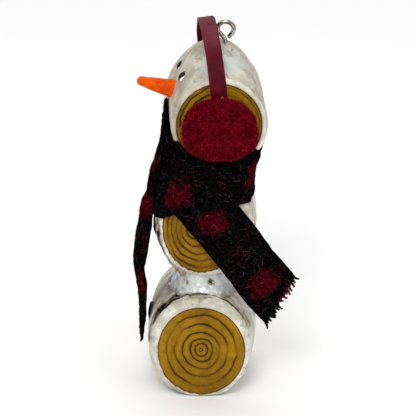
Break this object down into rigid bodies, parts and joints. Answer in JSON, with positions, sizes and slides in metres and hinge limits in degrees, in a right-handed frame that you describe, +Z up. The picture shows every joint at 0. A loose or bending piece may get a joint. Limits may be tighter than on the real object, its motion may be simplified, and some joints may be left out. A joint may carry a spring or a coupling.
{
  "type": "wooden snowman ornament",
  "caption": "Snowman of stacked short logs with a carrot nose, earmuffs and a fringed plaid scarf, hung from a screw eye or stood on its flat base.",
  "frame": {"origin": "middle of the flat cut under the bottom log, on the surface it stands on", "axes": "+Z up, -X the way the snowman faces, -Y towards its left ear"},
  "size_m": [0.0498, 0.0559, 0.1131],
  "materials": {
    "painted_wood": "satin",
    "dowel_wood": "matte",
    "snow": "gloss",
    "nose_wood": "satin",
    "bead": "gloss",
    "coal": "matte",
    "strap_vinyl": "satin",
    "pompom": "matte",
    "glue": "gloss",
    "scarf_wool": "matte",
    "nickel": "gloss"
  },
  "bodies": {
    "snowman": {"bottom_log": "painted_wood", "middle_log": "painted_wood", "head_log": "painted_wood", "lower_dowel": "dowel_wood", "upper_dowel": "dowel_wood", "lower_snow_neck": "snow", "upper_snow_neck": "snow", "carrot_nose": "nose_wood", "left_eye": "bead", "right_eye": "bead", "middle_button": "coal", "bottom_button": "coal", "headband": "strap_vinyl", "left_earmuff": "pompom", "right_earmuff": "pompom", "left_glue_dot": "glue", "right_glue_dot": "glue", "scarf_wrap": "scarf_wool"},
    "screw_eye": {"screw_eye": "nickel"},
    "front_tail": {"scarf_front_tail": "scarf_wool"},
    "side_tail": {"scarf_side_tail": "scarf_wool"}
  },
  "joints": [
    {"name": "screw_eye_turn", "type": "hinge", "parent": "snowman", "child": "screw_eye", "pos_m": [0.0064, 0, 0.1057], "axis": [0, 0, 1], "range_deg": [-90, 90]},
    {"name": "front_tail_swing", "type": "hinge", "parent": "snowman", "child": "front_tail", "pos_m": [-0.0155, 0, 0.0646], "axis": [0, 1, 0], "range_deg": [0, 40]},
    {"name": "side_tail_lift", "type": "hinge", "parent": "snowman", "child": "side_tail", "pos_m": [0.00086, -0.01667, 0.0585], "axis": [-0.9919, 0.036, -0.122], "range_deg": [0, 50]}
  ]
}
